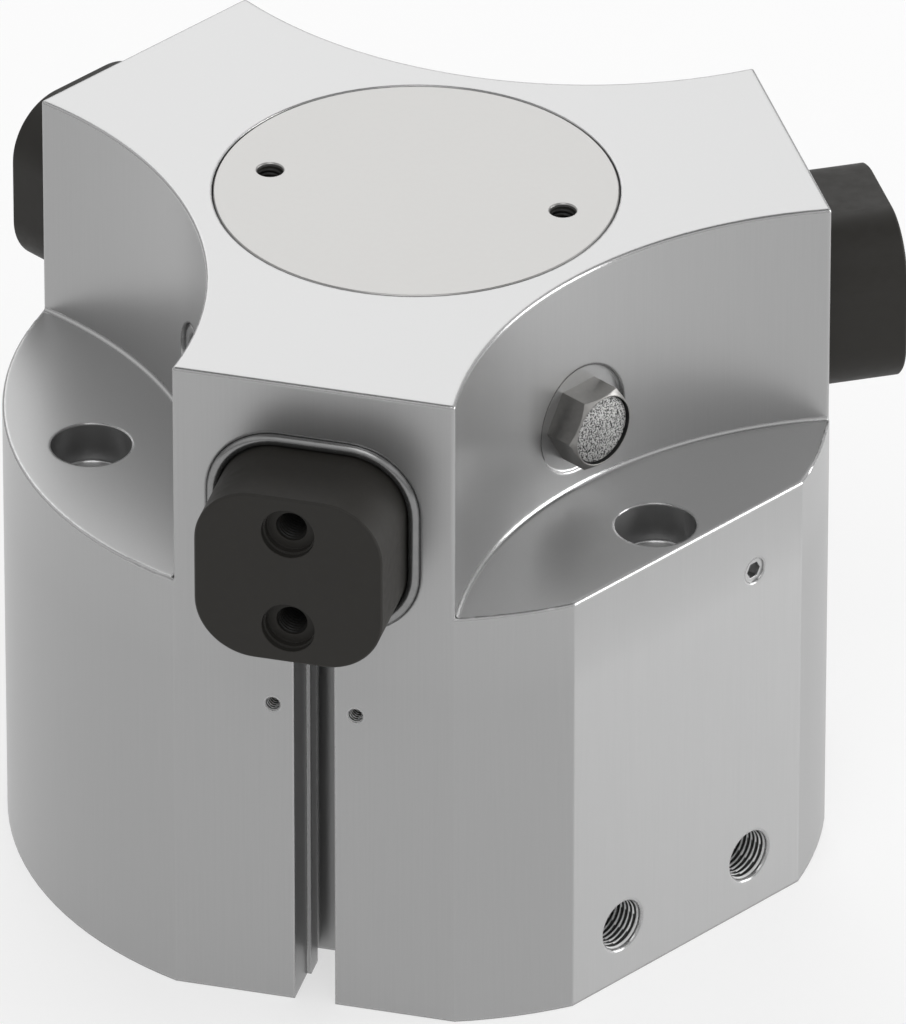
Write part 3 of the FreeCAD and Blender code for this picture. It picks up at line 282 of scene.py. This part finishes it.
def turned_cover():
    """Satin aluminium, a little darker and warmer than the body."""
    colors = ((0.342, 0.338, 0.331), (0.35, 0.346, 0.339))
    return mottled("cover_aluminium", (0.345, 0.34, 0.334), 0.75, 0.3, colors, finish=(0.29, 0.32),
                   scale=0.8, detail=4.0, edge=0.00015)


def dark_jaw():
    """Dark oxide on ground steel."""
    colors = ((0.0225, 0.021, 0.0185), (0.026, 0.0245, 0.022))
    m = mottled("jaw_steel", (0.03, 0.027, 0.024), 0.0, 0.55, colors, finish=(0.5, 0.6),
                scale=0.6, detail=5.0, edge=0.00025)
    m.set("Specular IOR Level", 0.22)
    m.bump(m.noise(3.0, detail=3.0), height=0.000006, strength=0.25)
    return m


def metal(name, color, roughness):
    """Turned or drawn metal."""
    colors = ([c * 0.94 for c in color], [c * 1.06 for c in color])
    finish = (roughness - 0.04, roughness + 0.05)
    return mottled(name, color, 1.0, roughness, colors, finish, scale=1.2, detail=4.0, edge=0.0002)


def matte(name, color):
    """A dull plastic or pressed compound."""
    colors = ([c * 0.9 for c in color], [min(1, c * 1.08) for c in color])
    return mottled(name, color, 0.0, 0.55, colors, finish=(0.48, 0.62), scale=1.0, detail=4.0)


def smooth(name, shade, metallic, roughness, shades, finish, scale):
    """A grey material without edges of its own, from its darkest to its lightest shade."""
    colors = [grey(value) for value in shades]
    return mottled(name, grey(shade), metallic, roughness, colors, finish, scale, detail=3.0)


def sintered_metal():
    """Pressed metal powder: pale grains with black pores."""
    m = Material("sintered_metal", (0.5, 0.5, 0.49), metallic=0.3, roughness=0.6)
    pores = m.noise(4.0)
    m.vary_color(m.spread(pores, 0, 1, inside=(0.44, 0.52)), grey(0.012), (0.5, 0.5, 0.49))
    m.bump(pores, height=0.0002, strength=0.8)
    return m


materials = [
    brushed_body(),
    turned_cover(),
    dark_jaw(),
    smooth("seal_rubber", 0.02, 0.0, 0.25, shades=(0.018, 0.03), finish=(0.2, 0.32), scale=1.5),
    smooth("jaw_seal_grey", 0.24, 0.9, 0.25, shades=(0.23, 0.26), finish=(0.24, 0.27), scale=1.0),
    # painted_recess_shade: a near-black painted shade for the thread valleys and the breather's seat wall.
    smooth("painted_recess_shade", 0.02, 0.4, 0.5, shades=(0.015, 0.025), finish=(0.42, 0.55), scale=2.0),
    # painted_thread_highlight: a pale painted highlight for the thread crests, far lighter than the body.
    smooth("painted_thread_highlight", 0.85, 0.1, 0.45, shades=(0.82, 0.88), finish=(0.4, 0.5), scale=2.0),
    metal("drive_steel", (0.42, 0.41, 0.4), roughness=0.3),
    metal("screw_steel", grey(0.14), roughness=0.35),
    metal("plug_steel", grey(0.5), roughness=0.35),
    metal("inner_aluminium", (0.62, 0.62, 0.63), roughness=0.33),
    metal("bush_bronze", (0.58, 0.4, 0.22), roughness=0.32),
    metal("breather_steel", (0.3, 0.295, 0.285), roughness=0.4),
    matte("guide_plastic", (0.6, 0.57, 0.5)),
    matte("magnet_compound", (0.08, 0.075, 0.07)),
    sintered_metal(),
]
looks = {m.name: m.material for m in materials}

look_of = {entry["node"]: entry["material_slot"] for entry in frame["record"]["subparts"]}
look_of["channel_plugs"] = "plug_steel"
for number in JAW_TURNS:
    look_of[f"jaw_seal_{number}"] = "jaw_seal_grey"
for name, node in frame["nodes"].items():
    node.data.materials.clear()
    node.data.materials.append(looks[look_of[name]])


def direction(turn):
    """The outward direction that jaw 1 has after a turn about the upright axis."""
    angle = math.radians(turn - 90)
    return Vector((math.cos(angle), math.sin(angle), 0))


def spot(turn, reach, sideways, height):
    """A point on a face that looks outward at a turn: distance from the middle, side distance, height."""
    outward = direction(turn)
    along = Vector((-outward.y, outward.x, 0))
    return outward * reach + along * sideways + Vector((0, 0, height))


def join_rows(rows, closed=True):
    """Points and faces between neighbouring rows of points. In closed rows the ends meet."""
    width = len(rows[0])
    points = [point for row in rows for point in row]
    faces = []
    for low in range(0, width * (len(rows) - 1), width):
        high = low + width
        for step in range(width if closed else width - 1):
            follower = (step + 1) % width
            faces.append((low + step, low + follower, high + follower, high + step))
    return points, faces


def turned_rows(turn, height, profile, around=64):
    """Rings around an axis that leaves the body at a turn and a height."""
    angles = [2 * math.pi * step / around for step in range(around)]
    return [
        [spot(turn, reach, radius * math.cos(angle), height + radius * math.sin(angle)) for angle in angles]
        for radius, reach in profile
    ]


def add_piece(name, points, faces, body, slot, look_names=None, second_marks=None):
    """A smooth-shaded piece that moves with a body. Faces marked 1 in second_marks take the second look."""
    mesh = bpy.data.meshes.new(name)
    mesh.from_pydata(points, [], faces)
    mesh.polygons.foreach_set("use_smooth", [True] * len(mesh.polygons))
    for look in look_names or [slot]:
        mesh.materials.append(looks[look])
    if second_marks:
        mesh.polygons.foreach_set("material_index", second_marks)
    mesh.update()
    piece = bpy.data.objects.new(name, mesh)
    bpy.context.scene.collection.objects.link(piece)
    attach(piece, body)
    return piece


def sharpen(piece, degrees):
    """Keeps edges sharp where the faces meet at more than an angle."""
    bm = bmesh.new()
    bm.from_mesh(piece.data)
    bmesh.ops.recalc_face_normals(bm, faces=bm.faces)
    for edge in bm.edges:
        edge.smooth = len(edge.link_faces) < 2 or edge.calc_face_angle() < math.radians(degrees)
    bm.to_mesh(piece.data)
    bm.free()


class Thread:
    """The ridges of one thread size, as a sleeve that lies just inside a hole's wall.

    The ridges are a share of the pitch high.
    """

    WALL_GAP = 0.00003
    ROWS_PER_TURN = 8
    PLAIN_ROWS = 4
    VALLEY_LIMIT = 2.6

    def __init__(self, wall_radius, pitch, length, around, ridge_share=0.35):
        self.wall_radius = wall_radius
        self.pitch = pitch
        self.length = length
        self.around = around
        self.height = ridge_share * pitch
        self.rows = int(length / pitch * self.ROWS_PER_TURN) + 1

    def ridge(self, depth, turn):
        """How far a point lies up the ridge that winds down the hole, from 0 to 1."""
        phase = (depth / self.pitch - turn) % 1.0
        rise = 1 - abs(2 * phase - 1)
        fade = min(1.0, depth / self.pitch, (self.length - depth) / self.pitch)
        return rise * rise * (3 - 2 * rise) * fade

    def sleeve(self, mouth, inward):
        """Points, faces and the marks of the faces in the valleys, which take a painted shade."""
        side = inward.orthogonal().normalized()
        other = inward.cross(side)
        rows, rises = [], []
        for number in range(self.rows + 1):
            depth = self.length * number / self.rows
            row = []
            for step in range(self.around):
                turn = step / self.around
                angle = 2 * math.pi * turn
                rise = self.ridge(depth, turn)
                radius = self.wall_radius - self.WALL_GAP - self.height * rise
                outward = side * math.cos(angle) + other * math.sin(angle)
                row.append(mouth + inward * depth + outward * radius)
                rises.append(rise)
            rows.append(row)
        points, faces = join_rows(rows)
        plain_end = self.around * self.PLAIN_ROWS
        valleys = [
            int(face[0] >= plain_end and sum(rises[corner] for corner in face) < self.VALLEY_LIMIT)
            for face in faces
        ]
        return points, faces, valleys


def add_thread(name, thread, mouth, inward, body, slot, crest):
    points, faces, valleys = thread.sleeve(mouth, inward)
    # The faces in the valleys take the painted shade.
    add_piece(name, points, faces, body, slot, [crest, "painted_recess_shade"], valleys)


def add_threads():
    """Ridges in the ports, the jaws' holes, the bracket holes and the cover's holes. The port and bracket
    crests take a painted highlight, and all valleys a painted shade.
    """
    port_thread = Thread(wall_radius=0.00428, pitch=0.000907, length=0.0105, around=48)
    finger_thread = Thread(wall_radius=0.0025, pitch=0.0007, length=0.01, around=40)
    bracket_thread = Thread(wall_radius=0.00125, pitch=0.0006, length=0.004, around=28, ridge_share=0.3)
    cover_thread = Thread(wall_radius=0.0021, pitch=0.0008, length=0.005, around=32)
    for name, side in (("left", -1), ("right", 1)):
        mouth = spot(PORT_TURN, PORT_FLAT - PORT_THREAD_DEPTH, PORT_OFFSET * side, PORT_HEIGHT)
        add_thread(f"port_thread_{name}", port_thread, mouth, -direction(PORT_TURN),
                   "body", "body_aluminium", "painted_thread_highlight")
        # The cover's threads take the dark jaw colour instead of the cover's aluminium: painted shade in
        # its holes.
        mouth = Vector((COVER_HOLE_CIRCLE * side, 0, BODY_HEIGHT - COVER_THREAD_DEPTH))
        add_thread(f"cover_thread_{name}", cover_thread, mouth, Vector((0, 0, -1)),
                   "body", "cover_aluminium", "jaw_steel")
    for number, turn in JAW_TURNS.items():
        for name, side in (("upper", 1), ("lower", -1)):
            mouth = spot(turn, JAW_REACH - FINGER_THREAD_DEPTH, 0, JAW_CENTRE + FINGER_PITCH / 2 * side)
            add_thread(f"finger_thread_{number}_{name}", finger_thread, mouth, -direction(turn),
                       f"jaw_{number}", "jaw_steel", "jaw_steel")
        for name, side in (("left", -1), ("right", 1)):
            mouth = spot(turn, FLAT - BRACKET_THREAD_DEPTH, BRACKET_HOLE_OFFSET * side, BRACKET_HOLE_HEIGHT)
            add_thread(f"bracket_thread_{number}_{name}", bracket_thread, mouth, -direction(turn),
                       "body", "body_aluminium", "painted_thread_highlight")


def hexagon_profile(corner, front, bevel_radius):
    """The hexagon's outline from its shank to its seat, where it is corner wide."""
    drop = max(0.0, corner - bevel_radius) * HEXAGON_BEVEL_SLOPE
    return [
        (SHANK_RADIUS, SPOTFACE - SHANK_LENGTH),
        (SHANK_RADIUS, SPOTFACE),
        (corner, SPOTFACE),
        (corner, front - drop - HEXAGON_EDGE),
        (corner - HEXAGON_EDGE, front - drop),
        (min(corner, bevel_radius), front),
        (FILTER_SEAT, front),
        (FILTER_SEAT, front - FILTER_DEPTH),
    ]


def add_breather():
    """The breather's hexagon with the bevelled corners of a turned blank, and the disc sunk in it."""
    around = 72
    half = HEXAGON_FLATS / 2
    front = SPOTFACE + HEXAGON_HEIGHT
    columns = []
    for step in range(around):
        angle = 2 * math.pi * step / around
        corner = half / math.cos(angle % (math.pi / 3) - math.pi / 6)
        columns.append([
            spot(PORT_TURN, reach, radius * math.cos(angle), JAW_CENTRE + radius * math.sin(angle))
            for radius, reach in hexagon_profile(corner, front, half * HEXAGON_BEVEL_START)
        ])
    rows = list(zip(*columns))
    points, faces = join_rows(rows)
    # The seat's wall inside the hexagon takes the near-black look: painted shade around the sunk disc.
    inside_start = around * (len(rows) - 2)
    inside = [int(index >= inside_start) for index in range(len(faces))]
    piece = add_piece("breather_hexagon", points, faces, "body", "breather_steel",
                      ["breather_steel", "painted_recess_shade"], inside)
    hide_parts("breather_body")
    sharpen(piece, 30)
    disc_front = front - FILTER_SINK
    profile = [
        (FILTER_RADIUS, front - FILTER_DEPTH),
        (FILTER_RADIUS, disc_front - FILTER_EDGE),
        (FILTER_RADIUS - FILTER_EDGE, disc_front),
        (FILTER_CENTRE, disc_front),
    ]
    points, faces = join_rows(turned_rows(PORT_TURN, JAW_CENTRE, profile))
    piece = add_piece("sintered_disc", points, faces, "body", "sintered_metal")
    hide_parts("breather_filter")


def add_cut_fillets():
    """The small hollow rounding where each side cut's wall meets its floor."""
    steps, slices = 60, 8
    half_flat = math.sqrt(BODY_RADIUS ** 2 - FLAT ** 2)
    sixty = math.radians(60)
    along = half_flat * math.sin(sixty) + FLAT * math.cos(sixty)
    across = FLAT * math.sin(sixty) - half_flat * math.cos(sixty)
    rise = along - WALL_RADIUS
    arc = (rise ** 2 + across ** 2) / (2 * rise)
    limit = math.asin(across / arc) - FILLET_END_GAP
    for name, turn in (("port", PORT_TURN), ("back", BACK_TURN), ("left", LEFT_TURN)):
        rows = []
        for part in range(slices + 1):
            bend = math.pi / 2 * part / slices
            radius = arc - FILLET_RADIUS * (1 - math.sin(bend)) - FILLET_LIFT
            height = STEP_HEIGHT + FILLET_RADIUS * (1 - math.cos(bend)) + FILLET_LIFT
            angles = [-limit + 2 * limit * step / steps for step in range(steps + 1)]
            rows.append([
                spot(turn, WALL_RADIUS + arc - radius * math.cos(angle), radius * math.sin(angle), height)
                for angle in angles
            ])
        points, faces = join_rows(rows, closed=False)
        add_piece(f"cut_fillet_{name}", points, faces, "body", "body_aluminium")


def add_plug_collars():
    """A flush collar around each side plug, in the recess of its wall."""
    profile = [
        (COLLAR_OUTER, COLLAR_FLOOR),
        (COLLAR_OUTER, COLLAR_TOP - COLLAR_EDGE),
        (COLLAR_OUTER - COLLAR_EDGE, COLLAR_TOP),
        (COLLAR_INNER + COLLAR_EDGE, COLLAR_TOP),
        (COLLAR_INNER, COLLAR_TOP - COLLAR_EDGE),
        (COLLAR_INNER, COLLAR_FLOOR),
    ]
    for name, turn in (("back", BACK_TURN), ("left", LEFT_TURN)):
        points, faces = join_rows(turned_rows(turn, JAW_CENTRE, profile))
        add_piece(f"plug_collar_{name}", points, faces, "body", "body_aluminium")


def jaw_outline(turn, offset, reach):
    """A ring of points around a jaw's rounded outline, at a distance from it."""
    corner_steps = 12
    radius = JAW_CORNER + offset
    ring = []
    for quarter, (side, upper) in enumerate(((1, 1), (-1, 1), (-1, -1), (1, -1))):
        for step in range(corner_steps + 1):
            angle = math.pi / 2 * (quarter + step / corner_steps)
            across = side * (JAW_WIDTH / 2 - JAW_CORNER) + radius * math.cos(angle)
            height = upper * (JAW_HEIGHT / 2 - JAW_CORNER) + radius * math.sin(angle)
            ring.append(spot(turn, reach, across, JAW_CENTRE + height))
    return ring


def add_jaw_beads():
    """The rounded bead around each jaw, in place of the plain frame."""
    arc_steps = 12
    middle, half = (BEAD_INNER + BEAD_OUTER) / 2, (BEAD_OUTER - BEAD_INNER) / 2
    profile = [(BEAD_INNER, -BEAD_DEPTH)]
    for step in range(arc_steps + 1):
        angle = math.pi * step / arc_steps
        profile.append((middle - half * math.cos(angle), BEAD_RISE * math.sin(angle)))
    profile += [(BEAD_OUTER, -BEAD_DEPTH), (BEAD_INNER, -BEAD_DEPTH)]
    for number, turn in JAW_TURNS.items():
        rows = [jaw_outline(turn, offset, FLAT + rise) for offset, rise in profile]
        points, faces = join_rows(rows)
        piece = add_piece(f"jaw_bead_{number}", points, faces, "body", "seal_rubber", ["jaw_seal_grey"])
        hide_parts(f"jaw_seal_{number}")
        sharpen(piece, 40)


SKY_STRENGTH = 0.88
SKY_HORIZON = 0.3
SKY_ZENITH = 0.15
SKY_BRIGHT_BAND = (0.4, 0.7)
SKY_DARK_FROM = 0.88
FLOOR_REACH = 4.0
FLOOR_DROP = 0.0001
FLOOR_WHITE_SHARE = 0.6
LAMP_DISTANCE = 1.7
LAMP_TARGET = Vector((0, 0, 0.06))
CAMERA_AZIMUTH = 14.969
CAMERA_ELEVATION = 31.938
CAMERA_DISTANCE = 3.101
CAMERA_ROLL = 0.042
CAMERA_LENS = 682.2
CAMERA_SENSOR = 36.0
CAMERA_FAR = 20.0
AIM_RIGHT = 0.005845
AIM_UP = -0.002477


def toward(azimuth, elevation):
    """The direction in which something stands. Azimuth 0 is in front of jaw 1."""
    a, e = math.radians(azimuth), math.radians(elevation)
    return Vector((math.sin(a) * math.cos(e), -math.cos(a) * math.cos(e), math.sin(e)))


def make_world():
    """Soft light from all round: dim at the horizon, bright above it and dark overhead."""
    world = bpy.data.worlds.new("studio")
    bpy.context.scene.world = world
    world.use_nodes = True
    tree = world.node_tree
    background = tree.nodes["Background"]
    coordinates = tree.nodes.new("ShaderNodeTexCoord")
    split = tree.nodes.new("ShaderNodeSeparateXYZ")
    ramp = tree.nodes.new("ShaderNodeValToRGB")
    low, high = ramp.color_ramp.elements
    low.color = (*grey(SKY_HORIZON), 1)
    high.color = (*grey(SKY_ZENITH), 1)
    high.position = SKY_DARK_FROM
    for height in SKY_BRIGHT_BAND:
        ramp.color_ramp.elements.new(height).color = (1, 1, 1, 1)
    tree.links.new(coordinates.outputs["Generated"], split.inputs["Vector"])
    tree.links.new(split.outputs["Z"], ramp.inputs["Fac"])
    tree.links.new(ramp.outputs["Color"], background.inputs["Color"])
    background.inputs["Strength"].default_value = SKY_STRENGTH


def make_floor():
    """A plain pale floor."""
    mesh = bpy.data.meshes.new("floor")
    corners = [(FLOOR_REACH * x, FLOOR_REACH * y, 0) for x, y in ((-1, -1), (1, -1), (1, 1), (-1, 1))]
    mesh.from_pydata(corners, [], [(0, 1, 2, 3)])
    floor = bpy.data.objects.new("floor", mesh)
    bpy.context.scene.collection.objects.link(floor)
    floor.location.z = -FLOOR_DROP
    m = Material("floor_paint", grey(0.9), metallic=0.0, roughness=0.6)
    m.vary_color(m.noise(0.01), grey(0.93), grey(0.95))
    m.whiten(FLOOR_WHITE_SHARE)
    mesh.materials.append(m.material)


def add_softbox(name, azimuth, elevation, size, power):
    """A round lamp that faces the gripper."""
    light = bpy.data.lights.new(name, "AREA")
    light.shape = "DISK"
    light.size = size
    light.energy = power
    lamp = bpy.data.objects.new(name, light)
    bpy.context.scene.collection.objects.link(lamp)
    lamp.location = toward(azimuth, elevation) * LAMP_DISTANCE
    lamp.rotation_euler = (LAMP_TARGET - lamp.location).to_track_quat("-Z", "Y").to_euler()


def make_camera():
    """A long lens, looking down past the right-hand edge of jaw 1's tower."""
    back = toward(CAMERA_AZIMUTH, CAMERA_ELEVATION)
    right = toward(CAMERA_AZIMUTH + 90, 0)
    up = back.cross(right)
    roll = Matrix.Rotation(math.radians(CAMERA_ROLL), 3, back)
    right, up = roll @ right, roll @ up
    aim = Vector((0, 0, BODY_HEIGHT / 2)) + right * AIM_RIGHT + up * AIM_UP
    camera = bpy.data.objects.new("camera", bpy.data.cameras.new("camera"))
    bpy.context.scene.collection.objects.link(camera)
    turn = Matrix((right, up, back)).transposed().to_4x4()
    camera.matrix_world = Matrix.Translation(aim + back * CAMERA_DISTANCE) @ turn
    camera.data.lens = CAMERA_LENS
    camera.data.sensor_width = CAMERA_SENSOR
    camera.data.clip_end = CAMERA_FAR
    bpy.context.scene.camera = camera


add_threads()
add_breather()
add_cut_fillets()
add_plug_collars()
add_jaw_beads()
make_world()
make_floor()
add_softbox("key", azimuth=203, elevation=38, size=1.4, power=7)
add_softbox("right", azimuth=108, elevation=12, size=1.0, power=17)
add_softbox("front", azimuth=12, elevation=60, size=1.0, power=5)
make_camera()
bpy.context.scene.view_settings.view_transform = "Standard"
